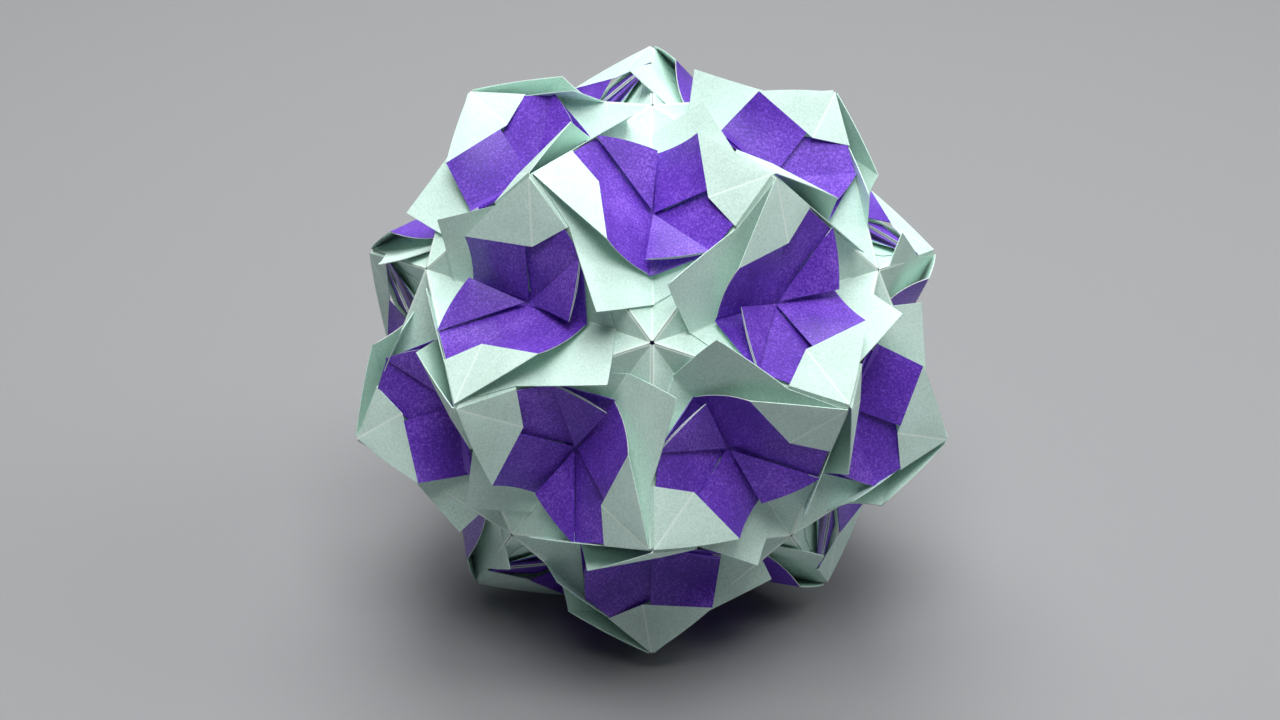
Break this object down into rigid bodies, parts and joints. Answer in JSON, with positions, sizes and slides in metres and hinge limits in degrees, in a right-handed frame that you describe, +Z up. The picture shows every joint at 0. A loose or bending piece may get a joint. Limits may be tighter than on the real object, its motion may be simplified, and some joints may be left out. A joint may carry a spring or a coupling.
{
  "type": "kusudama paper ball",
  "caption": "Kusudama ball of interlocked folded paper units, pale mint outside with purple four-leaved florets.",
  "frame": {"origin": "centre of the ball", "axes": "+Z straight up through a star point, where five units meet; -Y towards another star point, below it"},
  "size_m": [0.0986, 0.1036, 0.094],
  "materials": {
    "folded_paper": "matt, two-coloured"
  },
  "bodies": {
    "root": {"crown_unit_1": "folded_paper", "crown_unit_2": "folded_paper", "crown_unit_3": "folded_paper", "crown_unit_4": "folded_paper", "crown_unit_5": "folded_paper", "shoulder_unit_1": "folded_paper", "shoulder_unit_2": "folded_paper", "shoulder_unit_3": "folded_paper", "shoulder_unit_4": "folded_paper", "shoulder_unit_5": "folded_paper", "waist_unit_1": "folded_paper", "waist_unit_2": "folded_paper", "waist_unit_3": "folded_paper", "waist_unit_4": "folded_paper", "waist_unit_5": "folded_paper", "waist_unit_6": "folded_paper", "waist_unit_7": "folded_paper", "waist_unit_8": "folded_paper", "waist_unit_9": "folded_paper", "waist_unit_10": "folded_paper", "hip_unit_1": "folded_paper", "hip_unit_2": "folded_paper", "hip_unit_3": "folded_paper", "hip_unit_4": "folded_paper", "hip_unit_5": "folded_paper", "foot_unit_1": "folded_paper", "foot_unit_2": "folded_paper", "foot_unit_3": "folded_paper", "foot_unit_4": "folded_paper", "foot_unit_5": "folded_paper"}
  },
  "joints": []
}
